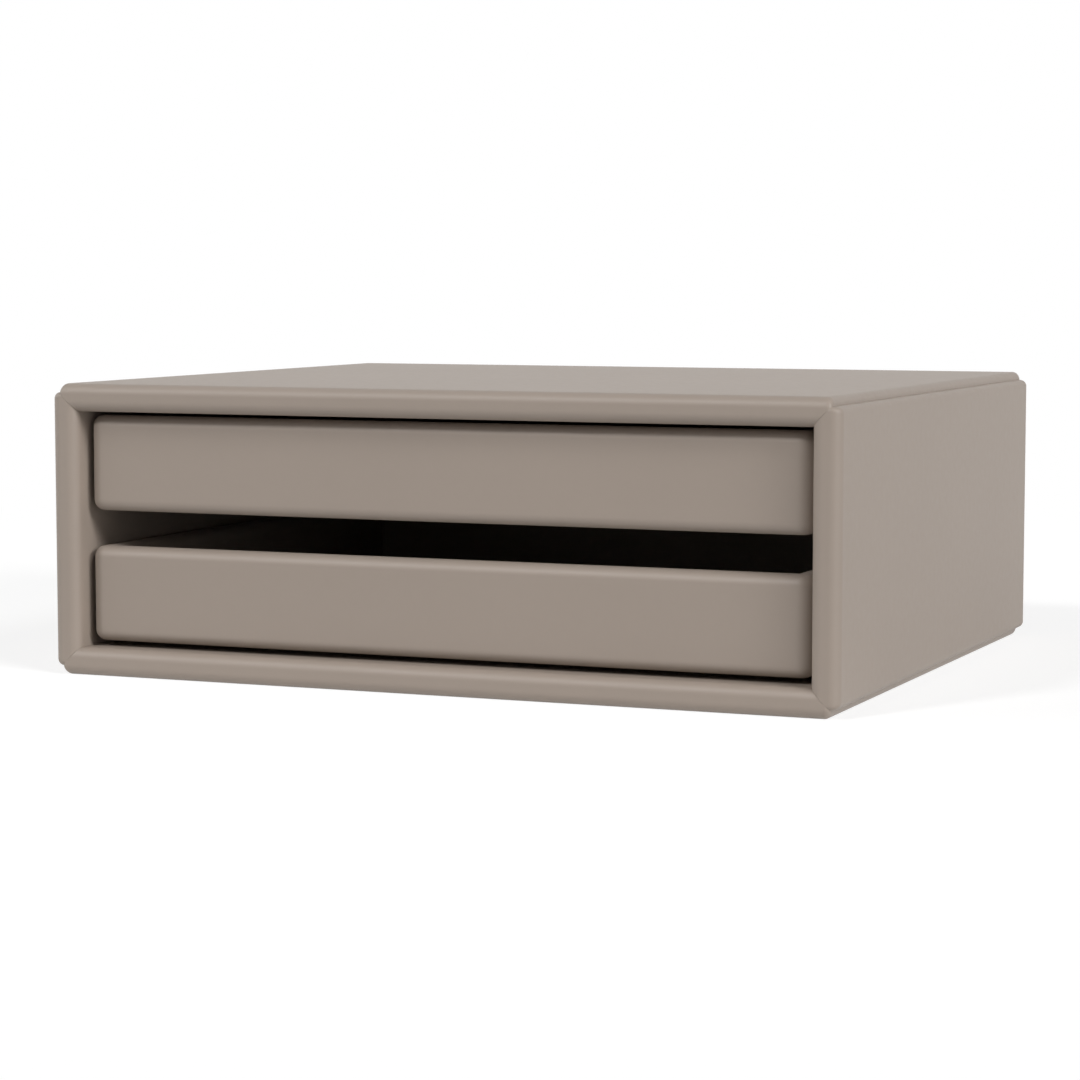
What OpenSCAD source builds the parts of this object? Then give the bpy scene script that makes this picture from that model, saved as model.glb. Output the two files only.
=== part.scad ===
// Low desk drawer unit: an open-front case of four mitred boards that holds two
// handle-free trays, one above the other, each carried on a pair of side runners.
// Millimetres. +Z is up, the open front faces -Y, and the origin is the middle of
// the underside.

/* [Case] */
// Overall width, left to right
case_w = 354; // [300:1:420]
// Overall depth, front to back
case_d = 302; // [240:1:360]
// Thickness of the four case boards
board_t = 12; // [11:0.5:18]
// Radius of the rounded front and back arrises of the case boards
arris_r = 4.5; // [2:0.1:5]
// Width and height of the step sunk along each long outer corner
step_w = 4; // [3.5:0.1:5]
// Radius of the two lips of that step
lip_r = 3; // [1.5:0.1:3.2]
// Radius of the corners at both ends of the case boards, seen from above
plan_r = 1.5; // [1:0.1:3]

/* [Back panel] */
// Thickness of the back panel
back_t = 5; // [3:0.5:8]
// How far the back panel is set in from the back arrises
back_inset = 8; // [7:0.5:16]
// Depth of the slot that holds the back panel's edges
back_slot = 4; // [2:0.5:5]

/* [Trays] */
// Outside height of a tray
tray_h = 41.2; // [34:0.2:60]
// Thickness of the tray walls
wall_t = 12; // [12:0.5:16]
// Radius of the rounded edges and corners of a tray
tray_r = 5.5; // [2:0.1:5.8]
// How far the tray fronts stand back from the case's front
tray_recess = 8; // [4:0.5:20]
// Clear height between the two trays, where the fingers reach in
finger_gap = 15.4; // [10:0.2:40]
// Clear height under the lower tray
under_gap = 2.4; // [1:0.1:5]
// Clear height over the upper tray
over_gap = 1.8; // [1:0.1:5]
// Clearance between a tray and the case at each side
side_gap = 1.5; // [1:0.1:3]
// Clearance between a tray and the back panel
rear_gap = 3; // [1:0.5:10]

/* [Tray floor] */
// Thickness of the tray floor
floor_t = 4; // [3:0.5:6]
// Height of the floor's underside above the tray's lowest edge
floor_lift = 6; // [6:0.5:8]
// Depth of the slot that holds the floor's edges
floor_slot = 4; // [2:0.5:4.5]

/* [Runners] */
// Height of a runner strip
runner_h = 8; // [6:0.5:9]
// Height of a runner's underside above its tray's lowest edge
runner_lift = 15.2; // [14:0.2:18]
// How far a runner reaches into the groove of its tray
runner_bite = 4; // [2.5:0.1:4]
// Distance from the tray's front face to the blind end of its groove
groove_stop = 20; // [16:1:60]
// Free height of a groove below its runner
groove_play = 0.8; // [0.4:0.1:1.5]
// Free depth of a groove beyond its runner
groove_relief = 0.6; // [0.3:0.1:0.8]

/* [Joinery] */
// Thickness of the loose tongues in the mitred corners
tongue_t = 3; // [2:0.5:3]
// Width of the loose tongues, half of it in each board
tongue_w = 8; // [5:0.5:8]
// Distance of a tongue's middle from the inside corner, along the mitre
tongue_set = 4.5; // [3.5:0.1:4.8]
// How far the case's tongues stop short of its front and back
tongue_stop = 26; // [22:1:60]
// How far the trays' tongues stop short of the top edge
tongue_top = 6; // [5:0.5:12]

/* [Screws] */
// Number of screws in each runner
screw_count = 3; // [2:1:5]
// Radius of a screw's shank
shank_r = 1.5; // [1.2:0.1:1.8]
// Radius of a screw's countersunk head
head_r = 2.9; // [2.6:0.1:3]
// Depth of the countersunk head
head_h = 1.6; // [1.4:0.1:2]
// Overall length of a screw
screw_l = 12; // [9:0.5:13]
// Distance of the outer screws from the two ends of a runner
screw_inset = 24; // [16:1:60]

/* [Clearances] */
// Glue room round a tongue and round a screw
glue_fit = 0.1; // [0.05:0.05:0.2]
// Room round the edges of the floors and the back panel in their slots
panel_fit = 0.2; // [0.1:0.05:0.4]
// Running gap between the top of a runner and the groove that rides on it
ride_gap = 0.1; // [0.05:0.05:0.2]
// Gap between a closed tray's groove end and the nose of its runner
nose_gap = 0.5; // [0.4:0.1:1]

/* [Hidden] */
$fn = 48;

// The clear opening of the case, and the height that follows from it
opening_w = case_w - 2 * board_t;
opening_h = under_gap + 2 * tray_h + finger_gap + over_gap;
case_h = opening_h + 2 * board_t;
front_y = -case_d / 2;
back_panel_y = case_d / 2 - back_inset - back_t;

// The trays' outside and inside
tray_w = opening_w - 2 * side_gap;
tray_front_y = front_y + tray_recess;
tray_d = back_panel_y - rear_gap - tray_front_y;
tray_mid_y = tray_front_y + tray_d / 2;
tray_in_w = tray_w - 2 * wall_t;
tray_in_d = tray_d - 2 * wall_t;
lower_z = board_t + under_gap;
upper_z = lower_z + tray_h + finger_gap;

// A runner runs from the blind end of the groove to the back panel
runner_t = side_gap + runner_bite;
runner_nose_y = tray_front_y + groove_stop + nose_gap;
runner_end_y = back_panel_y - panel_fit;
groove_h = runner_h + groove_play + ride_gap;

// The lip is always a little smaller than its step
lip_land = 0.3;
lip = min(lip_r, step_w - lip_land);

// The trays' tongues start a little above the floor
tongue_rise = 1.5;
tongue_foot = floor_lift + floor_t + tongue_rise;

// How far a tray's rounded corner runs on into the straight wall
corner_lap = 0.5;

// Cross recess and point of a screw
recess_w = 0.7;
recess_l = 3.2;
recess_h = 0.9;
point_l = 2;
point_r = 0.3;

lacquer = [0.62, 0.575, 0.525];
beech = [0.80, 0.66, 0.48];
steel = [0.72, 0.72, 0.74];

// Flat outlines

// Rectangle from the origin with all four corners rounded
module rounded_rect(w, h, r) {
    translate([0, r]) square([w, h - 2 * r]);
    translate([r, 0]) square([w - 2 * r, h]);
    for (x = [r, w - r], y = [r, h - r]) translate([x, y]) circle(r);
}

// Front view of a case board that lies with its outer face up at height 0: mitred
// ends that stop at the step, and a rounded lip above each mitre
module mitred_outline(span) {
    half = span / 2;
    shoulder_x = half - step_w;
    lip_x = shoulder_x - lip;
    intersection() {
        union() {
            translate([-shoulder_x, -board_t]) square([2 * shoulder_x, board_t - lip]);
            translate([-lip_x, -board_t]) square([2 * lip_x, board_t]);
            for (x = [-lip_x, lip_x]) translate([x, -lip]) circle(lip);
        }
        polygon([
            [-half, 0],
            [half, 0],
            [half - board_t, -board_t],
            [-half + board_t, -board_t]
        ]);
    }
}

// Side view of a strip with a rounded nose at nose_y, centred on height 0
module nosed_strip(nose_y, end_y, h) {
    translate([nose_y + h / 2, 0]) circle(h / 2);
    translate([nose_y + h / 2, -h / 2]) square([end_y - nose_y - h / 2, h]);
}

// Turns an outline drawn in Y and Z into a bar of length l along X
module along_x(l) rotate([90, 0, 90]) linear_extrude(l, center = true) children();

// Turns an outline drawn in X and Z into a bar of length l along Y
module along_y(l) rotate([90, 0, 0]) linear_extrude(l, center = true) children();

// Case

// A case board with its outer face up at height 0: the mitred front view, the
// rounded side view and the rounded plan, each drawn through the whole board
module case_board(span) {
    shoulder = span - 2 * step_w;
    intersection() {
        along_y(case_d) mitred_outline(span);
        along_x(span) translate([-case_d / 2, -board_t]) rounded_rect(case_d, board_t, arris_r);
        translate([-shoulder / 2, -case_d / 2, -board_t])
            linear_extrude(board_t) rounded_rect(shoulder, case_d, plan_r);
    }
}

// Repeats a piece drawn at the upper right corner of the case at all four corners
module at_case_corners() {
    translate([0, 0, case_h / 2])
        for (left = [0, 1], low = [0, 1])
            mirror([left, 0, 0]) mirror([0, 0, low]) children();
}

// Tongue across the mitre at the upper right corner, seen from the case's middle
module case_tongue(fit) {
    set = tongue_set / sqrt(2);
    along_y(case_d - 2 * tongue_stop + 2 * fit)
        translate([opening_w / 2 + set, opening_h / 2 + set])
            rotate(45) square([tongue_t + 2 * fit, tongue_w + 2 * fit], center = true);
}

// The back panel as a plain sheet, larger all round by fit
module back_sheet(fit) {
    translate([0, back_panel_y + back_t / 2, case_h / 2])
        cube([
            opening_w + 2 * (back_slot - panel_fit + fit),
            back_t + fit,
            opening_h + 2 * (back_slot - panel_fit + fit)
        ], center = true);
}

// What is cut out of the four case boards
module case_cuts() {
    at_case_corners() case_tongue(glue_fit);
    back_sheet(panel_fit);
    screw_places() pilot_hole();
}

module top_panel() {
    color(lacquer) difference() {
        translate([0, 0, case_h]) case_board(case_w);
        case_cuts();
    }
}

module bottom_panel() {
    color(lacquer) difference() {
        mirror([0, 0, 1]) case_board(case_w);
        case_cuts();
    }
}

// Side board on the right, or mirrored on the left
module side_board(left) {
    mirror([left, 0, 0])
        translate([case_w / 2, 0, case_h / 2])
            rotate([0, 90, 0]) case_board(case_h);
}

module left_side_panel() {
    color(lacquer) difference() {
        side_board(1);
        case_cuts();
    }
}

module right_side_panel() {
    color(lacquer) difference() {
        side_board(0);
        case_cuts();
    }
}

module back_panel() color(lacquer) back_sheet(0);

module case_tongues() color(beech) at_case_corners() case_tongue(0);

// Runners and their screws

// Repeats a piece drawn at the right runner, from its middle height on the inner
// face of the side board, for the runner on one side of the tray at height z
module at_runner(left, z) {
    mirror([left, 0, 0])
        translate([opening_w / 2, 0, z + runner_lift + runner_h / 2]) children();
}

// Places along a runner, evenly from one end screw to the other
function screw_y(i) =
    runner_nose_y + screw_inset
    + i * (runner_end_y - runner_nose_y - 2 * screw_inset) / (screw_count - 1);

// Repeats a screw drawn point first along +X from its head's flat top
module screw_row() {
    for (i = [0 : screw_count - 1])
        translate([-runner_t, screw_y(i), 0]) children();
}

module screw_places() {
    for (left = [0, 1], z = [lower_z, upper_z]) at_runner(left, z) screw_row() children();
}

// Countersunk wood screw along +X, larger all round by fit
module screw_body(fit) {
    rotate([0, 90, 0]) rotate_extrude() polygon([
        [0, 0],
        [head_r + fit, 0],
        [shank_r + fit, head_h],
        [shank_r + fit, screw_l - point_l],
        [point_r + fit, screw_l],
        [0, screw_l]
    ]);
}

// Straight hole for a screw, as deep as the screw is long
module pilot_hole() {
    rotate([0, 90, 0]) cylinder(h = screw_l + glue_fit, r = shank_r + glue_fit);
}

module screw() {
    difference() {
        screw_body(0);
        for (turn = [0, 90])
            rotate([turn, 0, 0])
                cube([2 * recess_h, recess_w, recess_l], center = true);
    }
}

module runner(left, z) {
    color(beech) at_runner(left, z) difference() {
        translate([-runner_t / 2, 0, 0])
            along_x(runner_t) nosed_strip(runner_nose_y, runner_end_y, runner_h);
        screw_row() screw_body(glue_fit);
    }
}

module upper_left_runner() runner(1, upper_z);
module upper_right_runner() runner(0, upper_z);
module lower_left_runner() runner(1, lower_z);
module lower_right_runner() runner(0, lower_z);

module runner_screws() color(steel) screw_places() screw();

// Trays

// Moves a piece drawn round the middle of a tray's underside to the tray at height z
module at_tray(z) translate([0, tray_mid_y, z]) children();

// Wedge round the upright centre line of a left-hand corner, from the mitre to just
// past the end of the bar between the mitres
module corner_wedge() {
    reach = 2 * tray_r;
    linear_extrude(tray_h) polygon([[0, 0], [corner_lap, 0], [corner_lap, -reach], [-reach, -reach]]);
}

// Half of a tray's rounded left-hand corner: an upright column with ball ends
module rounded_corner() {
    intersection() {
        corner_wedge();
        union() {
            translate([0, 0, tray_r]) cylinder(h = tray_h - 2 * tray_r, r = tray_r);
            for (z = [tray_r, tray_h - tray_r]) translate([0, 0, z]) rotate([0, 90, 0]) sphere(tray_r);
        }
    }
}

// Tray wall along +X from the origin, outer face at Y 0, mitred at both ends: a
// rounded bar between the mitres, and half of each rounded outer corner
module tray_wall(l) {
    intersection() {
        translate([l / 2, 0, 0]) along_x(l) rounded_rect(wall_t, tray_h, tray_r);
        linear_extrude(tray_h) polygon([
            [tray_r, 0],
            [l - tray_r, 0],
            [l - tray_r, tray_r],
            [l - wall_t, wall_t],
            [wall_t, wall_t],
            [tray_r, tray_r]
        ]);
    }
    translate([tray_r, tray_r, 0]) rounded_corner();
    translate([l - tray_r, tray_r, 0]) mirror([1, 0, 0]) rounded_corner();
}

// Repeats a piece drawn at the right rear corner of a tray at all four corners
module at_tray_corners() {
    for (left = [0, 1], front = [0, 1])
        mirror([left, 0, 0]) mirror([0, front, 0]) children();
}

// Upright tongue across the mitre at the right rear corner, above the floor
module tray_tongue(fit) {
    set = tongue_set / sqrt(2);
    translate([tray_in_w / 2 + set, tray_in_d / 2 + set, tongue_foot - fit])
        rotate(45)
            linear_extrude(tray_h - tongue_top - tongue_foot + 2 * fit)
                square([tongue_t + 2 * fit, tongue_w + 2 * fit], center = true);
}

// The floor as a plain sheet, with its edges larger by fit and its top by top_fit
module floor_sheet(fit, top_fit) {
    w = tray_in_w + 2 * (floor_slot - panel_fit + fit);
    d = tray_in_d + 2 * (floor_slot - panel_fit + fit);
    translate([-w / 2, -d / 2, floor_lift]) cube([w, d, floor_t + top_fit]);
}

// Groove in the outer face of the right wall, blind at the front and open at the back
module runner_groove() {
    mid_z = runner_lift + (runner_h + ride_gap - groove_play) / 2;
    depth = runner_bite + groove_relief;
    // The cutter starts outside the wall and leaves through the rear corner
    translate([tray_w / 2 - depth + wall_t / 2, 0, mid_z])
        along_x(wall_t)
            nosed_strip(groove_stop - tray_d / 2, tray_d / 2 + wall_t, groove_h);
}

// What is cut out of the four walls of a tray
module tray_cuts() {
    at_tray_corners() tray_tongue(glue_fit);
    floor_sheet(panel_fit, panel_fit);
    for (left = [0, 1]) mirror([left, 0, 0]) runner_groove();
}

// Wall of length l at distance d from the middle of the tray, turned to its side
module placed_wall(turn, l, d) {
    rotate(turn) translate([-l / 2, -d, 0]) tray_wall(l);
}

module tray_end_wall(z, turn) {
    color(lacquer) at_tray(z) difference() {
        placed_wall(turn, tray_w, tray_d / 2);
        tray_cuts();
    }
}

module tray_side_wall(z, turn) {
    color(lacquer) at_tray(z) difference() {
        placed_wall(turn, tray_d, tray_w / 2);
        tray_cuts();
    }
}

module tray_floor(z) color(lacquer) at_tray(z) floor_sheet(0, 0);

module tray_tongues(z) color(beech) at_tray(z) at_tray_corners() tray_tongue(0);

module upper_tray_front() tray_end_wall(upper_z, 0);
module upper_tray_back() tray_end_wall(upper_z, 180);
module upper_tray_left_wall() tray_side_wall(upper_z, -90);
module upper_tray_right_wall() tray_side_wall(upper_z, 90);
module upper_tray_floor() tray_floor(upper_z);
module upper_tray_tongues() tray_tongues(upper_z);

module lower_tray_front() tray_end_wall(lower_z, 0);
module lower_tray_back() tray_end_wall(lower_z, 180);
module lower_tray_left_wall() tray_side_wall(lower_z, -90);
module lower_tray_right_wall() tray_side_wall(lower_z, 90);
module lower_tray_floor() tray_floor(lower_z);
module lower_tray_tongues() tray_tongues(lower_z);

top_panel();
bottom_panel();
left_side_panel();
right_side_panel();
back_panel();
case_tongues();
upper_left_runner();
upper_right_runner();
lower_left_runner();
lower_right_runner();
runner_screws();
upper_tray_front();
upper_tray_back();
upper_tray_left_wall();
upper_tray_right_wall();
upper_tray_floor();
upper_tray_tongues();
lower_tray_front();
lower_tray_back();
lower_tray_left_wall();
lower_tray_right_wall();
lower_tray_floor();
lower_tray_tongues();
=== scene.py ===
import math
import bmesh
import bpy
import numpy as np
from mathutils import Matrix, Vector


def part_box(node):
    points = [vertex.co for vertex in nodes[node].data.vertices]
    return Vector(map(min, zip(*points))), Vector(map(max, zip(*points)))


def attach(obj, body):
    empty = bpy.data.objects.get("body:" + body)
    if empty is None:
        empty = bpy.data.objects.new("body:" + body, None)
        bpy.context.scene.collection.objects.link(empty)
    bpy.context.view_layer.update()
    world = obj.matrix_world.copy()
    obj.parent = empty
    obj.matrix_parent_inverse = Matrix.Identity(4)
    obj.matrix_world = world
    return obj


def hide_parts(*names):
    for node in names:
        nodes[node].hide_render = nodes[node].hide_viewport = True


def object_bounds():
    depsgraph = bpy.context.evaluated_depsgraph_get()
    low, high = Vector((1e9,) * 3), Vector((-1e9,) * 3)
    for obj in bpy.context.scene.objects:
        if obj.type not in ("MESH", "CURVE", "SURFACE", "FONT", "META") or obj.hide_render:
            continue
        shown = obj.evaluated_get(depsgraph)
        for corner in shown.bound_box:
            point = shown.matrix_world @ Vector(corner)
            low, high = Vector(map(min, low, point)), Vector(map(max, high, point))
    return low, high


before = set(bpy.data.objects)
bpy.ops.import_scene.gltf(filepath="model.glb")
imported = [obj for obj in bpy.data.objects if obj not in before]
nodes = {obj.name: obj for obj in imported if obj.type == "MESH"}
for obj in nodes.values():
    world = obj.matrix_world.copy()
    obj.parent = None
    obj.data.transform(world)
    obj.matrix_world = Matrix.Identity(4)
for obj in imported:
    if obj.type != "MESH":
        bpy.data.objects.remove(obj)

cadBox = [list(corner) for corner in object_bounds()]
print("frame: %d CAD nodes loaded" % len(nodes))


# Node helpers

# what every group of effects puts out
effectOutputs = {"Color": "NodeSocketColor", "Roughness": "NodeSocketFloat", "Normal": "NodeSocketVector"}


# a node group with these inputs, and the nodes that hold its inputs and outputs
def newGroup(name, inputs):
    group = bpy.data.node_groups.new(name, "ShaderNodeTree")
    for side, sockets in (("INPUT", inputs), ("OUTPUT", effectOutputs)):
        for label, kind in sockets.items():
            group.interface.new_socket(label, in_out=side, socket_type=kind)
    return group, group.nodes.new("NodeGroupInput"), group.nodes.new("NodeGroupOutput")


# links what a group has worked out to its outputs
def putOut(group, out, colour, roughness, normal):
    group.links.new(colour, out.inputs["Color"])
    group.links.new(roughness, out.inputs["Roughness"])
    group.links.new(normal, out.inputs["Normal"])


# a node with its settings, and its inputs linked to a socket or filled with a value
def addNode(tree, kind, inputs, **settings):
    made = tree.nodes.new(kind)
    for key, value in settings.items():
        setattr(made, key, value)
    for key, value in inputs.items():
        if isinstance(value, bpy.types.NodeSocket):
            tree.links.new(value, made.inputs[key])
        else:
            made.inputs[key].default_value = value
    return made


def noise(tree, where, scale, detail=2.0, roughness=0.5):
    made = addNode(tree, "ShaderNodeTexNoise",
                   {"Vector": where, "Scale": scale, "Detail": detail, "Roughness": roughness})
    return made.outputs["Fac"]


noiseReach = (0.25, 0.75)  # noise mostly stays between these values


# noise with its usual reach carried to the range from low to high
def rescaled(tree, value, low, high):
    usualLow, usualHigh = noiseReach
    made = addNode(tree, "ShaderNodeMapRange", {"Value": value, "From Min": usualLow,
                                                "From Max": usualHigh, "To Min": low, "To Max": high})
    return made.outputs["Result"]


# the result of a Math node
def maths(tree, operation, first, second):
    return addNode(tree, "ShaderNodeMath", {0: first, 1: second}, operation=operation).outputs[0]


# an opaque grey of this brightness
def grey(level):
    return (level, level, level, 1)


# in colour mode a Mix node has its factor at input 0, its colours at 6 and 7, its result at output 2
def mixColours(tree, factor, first, second):
    return addNode(tree, "ShaderNodeMix", {0: factor, 6: first, 7: second}, data_type="RGBA").outputs[2]


# Effects that several finishes share

lacquerLook = {
    "clouds": (9.0, 3.0),  # a noise's scale and detail
    "mottleScale": 260.0,
    "mottleShare": 0.35,
    "glossDrift": 0.03,
    "finePeel": (900.0, 1.5),
    "broadPeel": (170.0, 1.0),
    "peelDepth": 0.00006,
}


# sprayed lacquer: faint clouds of tone, a fine mottle, and the orange peel of the spray
def lacquerSkinGroup(look):
    group, given, out = newGroup("lacquerSkin", {"Tone": "NodeSocketColor", "Roughness": "NodeSocketFloat",
                                                 "Cloud": "NodeSocketFloat", "Peel": "NodeSocketFloat"})
    where = group.nodes.new("ShaderNodeTexCoord").outputs["Object"]
    clouds = noise(group, where, *look["clouds"])
    mottle = noise(group, where, look["mottleScale"])
    share = look["mottleShare"]
    drift = look["glossDrift"]
    tint = maths(group, "ADD", rescaled(group, clouds, -1.0, 1.0), rescaled(group, mottle, -share, share))
    level = maths(group, "ADD", maths(group, "MULTIPLY", tint, given.outputs["Cloud"]), 1.0)
    toned = addNode(group, "ShaderNodeVectorMath", {0: given.outputs["Tone"], "Scale": level},
                    operation="SCALE")
    gloss = maths(group, "ADD", given.outputs["Roughness"], rescaled(group, mottle, -drift, drift))
    relief = maths(group, "ADD", noise(group, where, *look["finePeel"]),
                   noise(group, where, *look["broadPeel"]))
    bump = addNode(group, "ShaderNodeBump",
                   {"Strength": given.outputs["Peel"], "Distance": look["peelDepth"], "Height": relief})
    putOut(group, out, toned.outputs[0], gloss, bump.outputs["Normal"])
    return group


beechLook = {
    "streakStretch": 0.03,
    "fleckStretch": 0.2,
    "streaks": (900.0, 4.0, 0.6),  # a noise's scale, detail and roughness
    "figureScale": 160.0,
    "flecks": (1600.0, 1.0),
    "fleckFrom": 0.62,
    "fleckFull": 0.72,
    "fleckDarkness": 0.55,
    "streakShare": 0.6,
    "figureShare": 0.4,
    "glossDrift": 0.06,
    "reliefStrength": 0.35,
    "reliefDepth": 0.0001,
}


# planed beech along Y: long streaks, a soft growth figure and short dark flecks
def beechGrainGroup(look):
    group, given, out = newGroup("beechGrain", {"Light": "NodeSocketColor", "Dark": "NodeSocketColor",
                                                "Roughness": "NodeSocketFloat"})
    where = group.nodes.new("ShaderNodeTexCoord").outputs["Object"]

    def drawnOut(stretch):
        mapping = addNode(group, "ShaderNodeMapping", {"Vector": where, "Scale": (1.0, stretch, 1.0)})
        return mapping.outputs[0]

    along = drawnOut(look["streakStretch"])
    streaks = noise(group, along, *look["streaks"])
    figure = noise(group, along, look["figureScale"])
    spots = noise(group, drawnOut(look["fleckStretch"]), *look["flecks"])
    flecks = addNode(group, "ShaderNodeMapRange",
                     {"Value": spots, "From Min": look["fleckFrom"], "From Max": look["fleckFull"],
                      "To Max": look["fleckDarkness"]}).outputs[0]
    grain = maths(group, "ADD", rescaled(group, streaks, 0.0, look["streakShare"]),
                  rescaled(group, figure, 0.0, look["figureShare"]))
    darkness = maths(group, "ADD", grain, flecks)
    tone = mixColours(group, darkness, given.outputs["Light"], given.outputs["Dark"])
    drift = look["glossDrift"]
    gloss = maths(group, "ADD", given.outputs["Roughness"], rescaled(group, streaks, -drift, drift))
    bump = addNode(group, "ShaderNodeBump", {"Strength": look["reliefStrength"],
                                             "Distance": look["reliefDepth"], "Height": streaks})
    putOut(group, out, tone, gloss, bump.outputs["Normal"])
    return group


zincLook = {
    "spangleScale": 1400.0,
    "markScale": 5000.0,
    "toneDrift": 0.12,
    "glossDrift": (-0.08, 0.12),
    "reliefStrength": 0.3,
    "reliefDepth": 0.00002,
}


# zinc plate: small spangles of tone, a dull bloom, and fine turning marks
def zincFilmGroup(look):
    group, given, out = newGroup("zincFilm", {"Metal": "NodeSocketColor", "Roughness": "NodeSocketFloat"})
    where = group.nodes.new("ShaderNodeTexCoord").outputs["Object"]
    spangles = noise(group, where, look["spangleScale"])
    marks = noise(group, where, look["markScale"])
    drift = look["toneDrift"]
    level = maths(group, "ADD", rescaled(group, spangles, -drift, drift), 1.0)
    toned = addNode(group, "ShaderNodeVectorMath", {0: given.outputs["Metal"], "Scale": level},
                    operation="SCALE")
    bloom = rescaled(group, spangles, *look["glossDrift"])
    gloss = maths(group, "ADD", given.outputs["Roughness"], bloom)
    bump = addNode(group, "ShaderNodeBump", {"Strength": look["reliefStrength"],
                                             "Distance": look["reliefDepth"], "Height": marks})
    putOut(group, out, toned.outputs[0], gloss, bump.outputs["Normal"])
    return group


# a material whose colour, roughness and relief come from a group of effects
def finishWith(name, group, values, metallic=0.0):
    material = bpy.data.materials.new(name)
    material.use_nodes = True
    tree = material.node_tree
    shader = tree.nodes["Principled BSDF"]
    effect = tree.nodes.new("ShaderNodeGroup")
    effect.node_tree = group
    for label, value in values.items():
        effect.inputs[label].default_value = value
    for given, taken in (("Color", "Base Color"), ("Roughness", "Roughness"), ("Normal", "Normal")):
        tree.links.new(effect.outputs[given], shader.inputs[taken])
    shader.inputs["Metallic"].default_value = metallic
    return material


lacquerSkin = lacquerSkinGroup(lacquerLook)
beechGrain = beechGrainGroup(beechLook)
zincFilm = zincFilmGroup(zincLook)

finishes = {
    "caseTone": (0.315, 0.262, 0.221, 1),
    "trayTone": (0.317, 0.264, 0.223, 1),
    "lacquerRoughness": 0.50,
    "peel": 0.15,
    "cloud": 0.02,
    "runnerLight": (0.60, 0.42, 0.25, 1),
    "runnerDark": (0.40, 0.25, 0.13, 1),
    "runnerRoughness": 0.42,
    "tongueLight": (0.56, 0.39, 0.24, 1),
    "tongueDark": (0.36, 0.23, 0.12, 1),
    "tongueRoughness": 0.6,
    "screwMetal": (0.55, 0.55, 0.57, 1),
    "screwRoughness": 0.32,
}


def lacquer(name, tone):
    return finishWith(name, lacquerSkin,
                      {"Tone": tone, "Cloud": finishes["cloud"], "Peel": finishes["peel"],
                       "Roughness": finishes["lacquerRoughness"]})


# kind is runner or tongue
def beech(kind):
    return finishWith(kind + "Beech", beechGrain,
                      {"Light": finishes[kind + "Light"], "Dark": finishes[kind + "Dark"],
                       "Roughness": finishes[kind + "Roughness"]})


caseLacquer = lacquer("caseLacquer", finishes["caseTone"])
trayLacquer = lacquer("trayLacquer", finishes["trayTone"])
runnerBeech = beech("runner")
tongueBeech = beech("tongue")
screwSteel = finishWith("screwSteel", zincFilm, {"Metal": finishes["screwMetal"],
                                                 "Roughness": finishes["screwRoughness"]}, metallic=1.0)
print("materials: lacquers, beech and zinc made")


# Mesh helpers

meshRules = {
    "weld": 2e-6,  # points closer than this are one
    "sharpAngle": 33,  # degrees
}


# angles from start to stop, given in degrees and returned in radians
def arc(start, stop, count):
    return np.radians(np.linspace(start, stop, count))


# A closed skin over rings[i, j], station i along the piece and point j round its section, with a
# cap at each end. The quads marked in skipped, which would have no area, are left out.
def shapedMesh(name, rings, skipped=None):
    stations, around = rings.shape[:2]
    index = np.arange(stations * around).reshape(stations, around)
    here, ahead = index[:-1], index[1:]
    quads = np.stack([here, np.roll(here, -1, 1), np.roll(ahead, -1, 1), ahead], -1)
    if skipped is not None:
        quads = quads[~skipped]
    faces = quads.reshape(-1, 4).tolist() + [index[0].tolist(), index[-1].tolist()]
    mesh = bpy.data.meshes.new(name)
    mesh.from_pydata(rings.reshape(-1, 3), [], faces)
    weld = bmesh.new()
    weld.from_mesh(mesh)
    bmesh.ops.remove_doubles(weld, verts=weld.verts, dist=meshRules["weld"])
    bmesh.ops.recalc_face_normals(weld, faces=weld.faces)
    weld.to_mesh(mesh)
    weld.free()
    mesh.shade_smooth()
    mesh.set_sharp_from_angle(angle=math.radians(meshRules["sharpAngle"]))
    piece = bpy.data.objects.new(name, mesh)
    bpy.context.scene.collection.objects.link(piece)
    return piece


# a finished piece takes a node's place
def standsFor(piece, node, body, material):
    piece.data.materials.append(material)
    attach(piece, body)
    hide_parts(node)


# Case boards

caseBoards = {
    "arrisRadius": 0.0045,
    "lipRadius": 0.003,
    "planRadius": 0.0021,
    "step": 0.0038,  # from a board's end to its neighbour's outer face
    "cadStep": 0.004,
    "mitreEase": 0.00022,  # width of the fine easing along the mitre
    "mitreGuard": 0.00015,  # from the easing to the line beside it
    "easeGrowth": 3,  # the easing grows over this many times its width at the inner corner
    "easeFade": 0.0012,  # and fades over this much of the lip
    "easeTurn": 0.3,  # share of the easing at which it turns into the joint
    "slotDepth": 0.004,
    "slotPlay": 0.0001,
    "arcPoints": 13,
    "mitrePoints": 26,
    "lipPoints": 19,
    "cornerSupports": (0.004, 0.0005),  # lines this far before the inner corner
    "support": 0.0004,  # a line this far from a round keeps its shading off the flat
}


# places along a board, crowded over the mitre and by equal turns round the lip
def boardStations(half, thick, look):
    lipStart = half - look["step"] - look["lipRadius"]
    innerEnd = half - thick
    flat = np.array([0.0, innerEnd / 2] + [innerEnd - before for before in look["cornerSupports"]])
    mitre = np.linspace(innerEnd, lipStart, look["mitrePoints"])
    lip = lipStart + look["lipRadius"] * np.sin(arc(0, 90, look["lipPoints"])[1:])
    right = np.concatenate([flat, mitre, lip])
    return np.concatenate([-right[:0:-1], right])


# how far a round of this radius, which ends at end, has fallen back at reach:
# radius - sqrt(radius^2 - past^2), where past is how far reach lies past the round's start
def roundedBack(reach, end, radius):
    past = np.clip(reach - (end - radius), 0, radius)
    return radius - np.sqrt(radius ** 2 - past ** 2)


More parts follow.
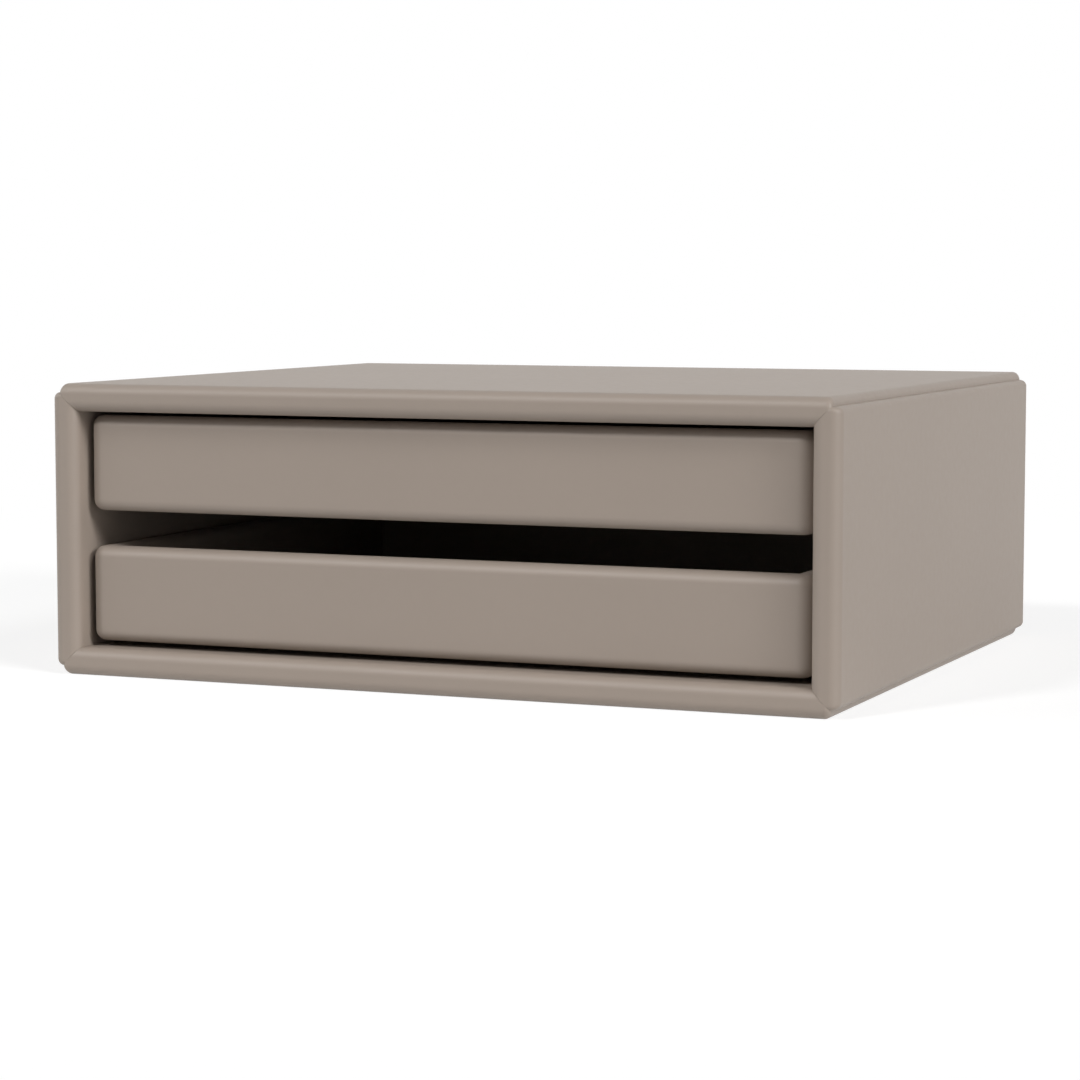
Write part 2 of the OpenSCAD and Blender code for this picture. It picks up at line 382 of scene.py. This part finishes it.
# Rings over a board: s along it, y from front to back, h from 0 at the outer face down.
# Front edge: w(h) = depth/2 - arris + wide * sqrt(1 - above^2 - below^2), where above and below
# are how far h lies in the upper or lower arris, as shares of the arris. The upper arris gets
# less tall by the lip's round and less wide by the plan corner's round as s nears the end.
# Mitre: h never goes under |s| - length/2.
def boardRings(length, depth, thick, slotFront, slotBack, look):
    half, arris, lip, ease = length / 2, look["arrisRadius"], look["lipRadius"], look["mitreEase"]
    s = boardStations(half, thick, look)
    reach = np.abs(s)
    end = half - look["step"]
    inset = roundedBack(reach, end, lip)
    planInset = roundedBack(reach, end, look["planRadius"])
    mitre = np.maximum(-thick, reach - half)
    # the easing grows over a short way at the inner corner and fades out on the lip
    lipStart = end - lip
    grown = np.clip((reach - (half - thick)) / (look["easeGrowth"] * ease), 0, 1)
    share = grown * np.clip(1 - (reach - lipStart) / look["easeFade"], 0, 1)
    easing = ease * share
    lowest = (mitre + easing)[:, None]
    guard = lowest + (look["mitreGuard"] * share)[:, None]
    tall = (arris - inset)[:, None]
    wide = (arris - planInset)[:, None]

    def frontEdge(h):
        above = np.clip(h + arris, 0, None) / tall
        below = np.clip(arris - thick - h, 0, None) / arris
        return depth / 2 - arris + wide * np.sqrt(np.clip(1 - above ** 2 - below ** 2, 0, None))

    upper = -arris + tall * np.sin(arc(90, 0, look["arcPoints"]))
    middle = np.array([-arris - look["support"], arris - thick + look["support"]])
    lower = arris - thick - arris * np.sin(arc(0, 90, look["arcPoints"]))
    plain = np.broadcast_to(np.concatenate([middle, lower]), (len(s), 2 + len(lower)))
    # a line beside the eased edge keeps its shading off the board's face
    chainH = np.concatenate([np.maximum(np.concatenate([upper, plain], 1), guard), lowest], 1)
    chainW = frontEdge(chainH)
    # the eased edge of the mitre leaves the front at the chain's end and turns into the joint
    turned = look["easeTurn"] * easing
    easeH = np.stack([mitre + turned, mitre], 1)
    easeW = chainW[:, -1:] - np.stack([turned, easing], 1)
    frontH = np.concatenate([chainH, easeH], 1)
    frontW = np.concatenate([chainW, easeW], 1)

    # the back panel's slot, which dies out at the mitre
    under = mitre[:, None]
    slotTop = np.maximum(under, look["slotDepth"] - thick)
    support = frontW[:, -1:] - look["support"]
    column = np.ones_like(under)
    innerY = np.concatenate([-support, slotFront * column, slotFront * column, slotBack * column,
                             slotBack * column, support], 1)
    innerH = np.concatenate([under, under, slotTop, slotTop, under, under], 1)
    topH = np.repeat(-inset[:, None], 2, 1)
    topY = (depth / 2 - arris - look["support"]) * np.broadcast_to([1.0, -1.0], (len(s), 2))

    y = np.concatenate([-frontW, innerY, frontW[:, ::-1], topY], 1)
    h = np.concatenate([frontH, innerH, frontH[:, ::-1], topH], 1)
    return np.broadcast_to(s[:, None], y.shape), y, h


# turn is the board's turn about Y, in degrees, from lying on top
def makeBoard(name, node, turn, look):
    low, high = (np.array(corner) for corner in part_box(node))
    upright = turn in (90, 270)
    size = high - low
    thick = size[0] if upright else size[2]
    length = (size[2] if upright else size[0]) + 2 * look["cadStep"]
    middle = (low + high) / 2
    panelLow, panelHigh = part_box("back_panel")
    s, y, h = boardRings(length, size[1], thick, panelLow.y - look["slotPlay"],
                         panelHigh.y + look["slotPlay"], look)
    # h counts from the outer face, and the middle of the board lies half its thickness below it
    h = h + thick / 2
    # a quarter turn's cosine and sine are whole numbers
    cosine = round(math.cos(math.radians(turn)))
    sine = round(math.sin(math.radians(turn)))
    x = middle[0] + s * cosine + h * sine
    z = middle[2] - s * sine + h * cosine
    piece = shapedMesh(name, np.stack([x, y, z], -1))
    standsFor(piece, node, "case", caseLacquer)


boardPlaces = (
    ("topBoard", "top_panel", 0),
    ("rightBoard", "right_side_panel", 90),
    ("bottomBoard", "bottom_panel", 180),
    ("leftBoard", "left_side_panel", 270),
)
for boardName, boardNode, boardTurn in boardPlaces:
    makeBoard(boardName, boardNode, boardTurn, caseBoards)
print("case: four mitred boards shaped")


# Tray walls

trayWalls = {
    "thickness": 0.012,
    "outerRadius": 0.0047,
    "innerRadius": 0.0058,
    "cornerRadius": 0.0065,
    "cadRadius": 0.0055,  # of the upright corners in the solids
    "floorLift": 0.006,
    "slotHeight": 0.0042,
    "slotDepth": 0.004,
    "grooveDepth": 0.0046,
    "grooveHeight": 0.0089,
    "grooveLift": 0.01885,
    "grooveStop": 0.020,
    "arcPoints": 13,
    "cornerPoints": 13,
    "nosePoints": 11,
    "mitrePoints": 4,
    "tiny": 1e-7,  # slack in comparing places
    "digits": 9,  # places along a wall that are the same to this many decimals are one
    "support": 0.0004,
}
# the groove's lip, floor, floor and lip, as their side of its middle and whether they lie at its depth
groovePoints = ((-1, 0), (-1, 1), (1, 1), (1, 0))


# The wall's section as n, 0 at the outer face and less inwards, and z, from the tray's foot:
# four quarter turns joined by straight lines, with the groove's mouth in the outer line and
# the floor's slot in the inner line.
def wallSection(height, look):
    thick, near = look["thickness"], look["support"]
    outer, inner = look["outerRadius"], look["innerRadius"]

    def quarter(n, z, radius, start):
        turn = arc(start, start + 90, look["arcPoints"])
        return np.stack([n + radius * np.cos(turn), z + radius * np.sin(turn)], 1)

    slotLow, slotHigh = look["floorLift"], look["floorLift"] + look["slotHeight"]
    slotEnd = look["slotDepth"] - thick
    # all the groove's points in one place, from which wallRings spreads them
    groove = np.full((len(groovePoints), 2), [0.0, look["grooveLift"]])
    pieces = [
        quarter(-outer, outer, outer, -90),
        [[0, outer + near]],
        groove,
        [[0, height - outer - near]],
        quarter(-outer, height - outer, outer, 0),
        [[-outer - near, height], [inner - thick + near, height]],
        quarter(inner - thick, height - inner, inner, 90),
        [[-thick, height - inner - near], [-thick, slotHigh], [slotEnd, slotHigh], [slotEnd, slotLow],
         [-thick, slotLow]],
        quarter(inner - thick, inner, inner, 180),
        [[inner - thick + near, 0], [-outer - near, 0]],
    ]
    section = np.concatenate([np.asarray(piece, float) for piece in pieces])
    grooveAt = look["arcPoints"] + 1
    return section[:, 0], section[:, 1], grooveAt


# Rings along a mitred wall with rounded outer corners, and which quads the groove leaves out.
# Between the corners a point keeps its n and moves along s, up to the mitre s = length/2 + n.
# In a corner a point outside the corner's centre line turns about it, by up to 45 degrees, but
# the groove's floor and the points inside the centre line run straight on to the mitre.
def wallRings(length, height, grooved, look):
    radius, near = look["cornerRadius"], look["support"]
    n, z, grooveAt = wallSection(height, look)
    half, straight = length / 2, length / 2 - radius
    mouth = look["grooveHeight"] / 2
    nose = -half + look["grooveStop"]
    noseTurn = nose + mouth * (1 - np.cos(arc(0, 90, look["nosePoints"])))
    extra = noseTurn if grooved else np.zeros(1)
    bends = np.array([-straight, near - straight, straight - near, straight])
    bar = np.unique(np.round(np.concatenate([bends, extra]), look["digits"]))
    # the inner end of the mitre lies before the round corner starts
    inner = np.linspace(look["thickness"] - half, -straight, look["mitrePoints"])[:-1]
    bar = np.unique(np.concatenate([bar, -inner, inner]))
    corner = arc(0, 45, look["cornerPoints"])[1:]
    s = np.concatenate([np.full(len(corner), -straight), bar, np.full(len(corner), straight)])
    turn = np.concatenate([-corner[::-1], np.zeros(len(bar)), corner])

    s, turn = s[:, None], turn[:, None]
    n = np.broadcast_to(n, (len(s), len(n))).copy()
    z = np.broadcast_to(z, n.shape).copy()
    skipped = np.zeros((len(s) - 1, n.shape[1]), bool)
    straightOn = n + radius < 0
    if grooved:
        # the mouth's half height follows the round nose
        opened = np.clip((s[:, 0] - nose) / mouth, 0, 1)
        rise = mouth * np.sqrt(1 - (1 - opened) ** 2)
        for offset, (side, deep) in enumerate(groovePoints):
            z[:, grooveAt + offset] += side * rise
            n[:, grooveAt + offset] = -look["grooveDepth"] * deep * (s[:, 0] >= nose - look["tiny"])
        straightOn |= n == -look["grooveDepth"]
        beforeNose = s[1:, 0] <= nose + look["tiny"]
        skipped[np.ix_(beforeNose, grooveAt + np.arange(len(groovePoints) - 1))] = True
    outward = np.clip(n + radius, 0, None)
    limit = half + n
    onward = np.clip(s + radius * np.tan(turn), -limit, limit)
    along = np.where(straightOn, onward, s + outward * np.sin(turn))
    across = np.where(straightOn, n, outward * np.cos(turn) - radius)
    return along, across, z, skipped


# turn is 0 for the front wall, 90 for the right one and 270 for the left one
def makeWall(name, node, tray, turn, grooved, look):
    low, high = (np.array(corner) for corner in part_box(node))
    size = high - low
    # the node ends at the middle of its round corners, so the tray's own side is a little longer
    cornerLack = look["cadRadius"] * (1 - math.cos(math.radians(45)))
    along = (size[1] if turn in (90, 270) else size[0]) + 2 * cornerLack
    s, n, z, skipped = wallRings(along, size[2], grooved, look)
    # the front wall faces -Y, and a side wall runs from the front to the back
    if turn == 0:
        x, y = (low[0] + high[0]) / 2 + s, low[1] - n
    elif turn == 90:
        x, y = high[0] + n, (low[1] + high[1]) / 2 + s
    else:
        x, y = low[0] - n, (low[1] + high[1]) / 2 + s
    piece = shapedMesh(name, np.stack([x, y, z + low[2]], -1), skipped)
    standsFor(piece, node, tray, trayLacquer)


for level in ("upper", "lower"):
    tray = level + "_tray"
    makeWall(level + "TrayFront", tray + "_front", tray, 0, False, trayWalls)
    makeWall(level + "TrayRightWall", tray + "_right_wall", tray, 90, True, trayWalls)
    makeWall(level + "TrayLeftWall", tray + "_left_wall", tray, 270, True, trayWalls)
print("trays: front and side walls shaped")


# CAD nodes that keep their mesh

nodeFinishes = {
    "back_panel": caseLacquer,
    "case_tongues": tongueBeech,
    "upper_tray_tongues": tongueBeech,
    "lower_tray_tongues": tongueBeech,
    "upper_left_runner": runnerBeech,
    "upper_right_runner": runnerBeech,
    "lower_left_runner": runnerBeech,
    "lower_right_runner": runnerBeech,
    "runner_screws": screwSteel,
    "upper_tray_back": trayLacquer,
    "lower_tray_back": trayLacquer,
    "upper_tray_floor": trayLacquer,
    "lower_tray_floor": trayLacquer,
}
for nodeName, nodeFinish in nodeFinishes.items():
    nodes[nodeName].data.materials.clear()
    nodes[nodeName].data.materials.append(nodeFinish)
print("CAD nodes: %d finished" % len(nodeFinishes))


# Floor, world and lamps

studio = {
    "floorSize": 8.0,
    "holeInset": 0.009,
    "floorTone": 0.34,  # what the camera sees of the lamps' light on the floor
    "floorGlow": 0.77,  # what the floor adds to that by itself
    "floorBounce": 0.88,  # the grey that lights the object from below
    "shadowReach": 0.55,
    "shadowFade": 0.35,
    "skyStrength": 0.0,
    "lampDistance": 2.5,
    "lamps": {
        # degrees to the right of the front, degrees up, spread in degrees, and strength
        "rightSoftbox": (75, 22, 14, 1.40),
        "rightHighSoftbox": (62, 42, 14, 0.82),
        "rightLowSoftbox": (60, 8, 28, 0.28),
        "frontSpot": (-26, 40, 8, 1.14),
        "leftSoftbox": (-60, 22, 28, 0.50),
        "leftSideSoftbox": (-90, 22, 28, 0.42),
        "underSoftbox": (0, -90, 40, 1.60),
    },
}


# 1 for rays from the camera, a mirror or glass, and 0 for rays that light other things
def seenRays(tree):
    path = tree.nodes.new("ShaderNodeLightPath")
    seen = maths(tree, "ADD", path.outputs["Is Camera Ray"], path.outputs["Is Glossy Ray"])
    return addNode(tree, "ShaderNodeMath", {0: seen, 1: path.outputs["Is Transmission Ray"]},
                   operation="ADD", use_clamp=True).outputs[0]


# white to the camera, with the lamps' shadows near the object, and see-through from below
def floorFinish(look):
    material = bpy.data.materials.new("studioFloor")
    material.use_nodes = True
    tree = material.node_tree
    tree.nodes.clear()
    seen = seenRays(tree)
    tone = mixColours(tree, seen, grey(look["floorBounce"]), grey(look["floorTone"]))
    matt = addNode(tree, "ShaderNodeBsdfDiffuse", {"Color": tone})
    ownLight = maths(tree, "MULTIPLY", seen, look["floorGlow"])
    haze = addNode(tree, "ShaderNodeEmission", {"Color": grey(1), "Strength": ownLight})
    near = addNode(tree, "ShaderNodeAddShader", {0: matt.outputs[0], 1: haze.outputs[0]})
    glow = addNode(tree, "ShaderNodeEmission", {"Color": grey(1), "Strength": 1.0})
    where = tree.nodes.new("ShaderNodeTexCoord").outputs["Object"]
    distance = addNode(tree, "ShaderNodeVectorMath", {0: where}, operation="LENGTH").outputs["Value"]
    shadowEnd = look["shadowReach"] + look["shadowFade"]
    far = addNode(tree, "ShaderNodeMapRange",
                  {"Value": distance, "From Min": look["shadowReach"], "From Max": shadowEnd},
                  interpolation_type="SMOOTHSTEP")
    away = maths(tree, "MULTIPLY", far.outputs[0], seen)
    mixed = addNode(tree, "ShaderNodeMixShader", {0: away, 1: near.outputs[0], 2: glow.outputs[0]})
    below = tree.nodes.new("ShaderNodeNewGeometry").outputs["Backfacing"]
    clear = tree.nodes.new("ShaderNodeBsdfTransparent").outputs[0]
    oneSided = addNode(tree, "ShaderNodeMixShader", {0: below, 1: mixed.outputs[0], 2: clear})
    out = tree.nodes.new("ShaderNodeOutputMaterial")
    tree.links.new(oneSided.outputs[0], out.inputs["Surface"])
    return material


# The floor has a hole under the unit, a little smaller than its foot, and is see-through from
# below, so that the underside can be seen by the light of the lamp underneath.
def makeFloor(look):
    side = look["floorSize"] / 2
    holeX, holeY = (cadBox[1][axis] - look["holeInset"] for axis in (0, 1))
    corners = ((-1, -1), (1, -1), (1, 1), (-1, 1))
    rim = [(side * signX, side * signY, 0) for signX, signY in corners]
    hole = [(holeX * signX, holeY * signY, 0) for signX, signY in corners]
    count = len(corners)
    quads = [(i, (i + 1) % count, count + (i + 1) % count, count + i) for i in range(count)]
    mesh = bpy.data.meshes.new("studioFloor")
    mesh.from_pydata(rim + hole, [], quads)
    mesh.materials.append(floorFinish(look))
    floor = bpy.data.objects.new("studioFloor", mesh)
    bpy.context.scene.collection.objects.link(floor)


def makeWorld(look):
    world = bpy.data.worlds.new("studioWorld")
    bpy.context.scene.world = world
    world.use_nodes = True
    tree = world.node_tree
    background = tree.nodes["Background"]
    strength = addNode(tree, "ShaderNodeMapRange",
                       {"Value": seenRays(tree), "To Min": look["skyStrength"], "To Max": 1.0})
    background.inputs["Color"].default_value = grey(1)
    tree.links.new(strength.outputs[0], background.inputs["Strength"])


# a far lamp that shines from its place towards the origin, as wide as its spread angle
def makeLamp(name, turn, lift, spread, strength, distance):
    turn, lift = math.radians(turn), math.radians(lift)
    away = Vector((math.sin(turn) * math.cos(lift), -math.cos(turn) * math.cos(lift), math.sin(lift)))
    lamp = bpy.data.lights.new(name, "SUN")
    lamp.energy = strength
    lamp.angle = math.radians(spread)
    holder = bpy.data.objects.new(name, lamp)
    holder.location = away * distance
    holder.rotation_euler = away.to_track_quat("Z", "Y").to_euler()
    bpy.context.scene.collection.objects.link(holder)


makeFloor(studio)
makeWorld(studio)
for lampName, lampValues in studio["lamps"].items():
    makeLamp(lampName, *lampValues, studio["lampDistance"])
print("studio: floor, world and %d lamps" % len(studio["lamps"]))


# Camera

view = {
    "place": (0.519563, -1.264396, 0.176272),
    "turn": 22.806,
    "tilt": -5.198,
    "lens": 100.444,
    "filmWidth": 36.0,
    "nearest": 0.01,
}
camera = bpy.data.cameras.new("camera")
camera.sensor_width = view["filmWidth"]
camera.lens = view["lens"]
camera.clip_start = view["nearest"]
cameraHolder = bpy.data.objects.new("camera", camera)
cameraHolder.location = view["place"]
cameraHolder.rotation_euler = (math.radians(90 + view["tilt"]), 0, math.radians(view["turn"]))
bpy.context.scene.collection.objects.link(cameraHolder)
bpy.context.scene.camera = cameraHolder
bpy.context.scene.view_settings.view_transform = "Standard"
print("camera: set at the photograph's angle")
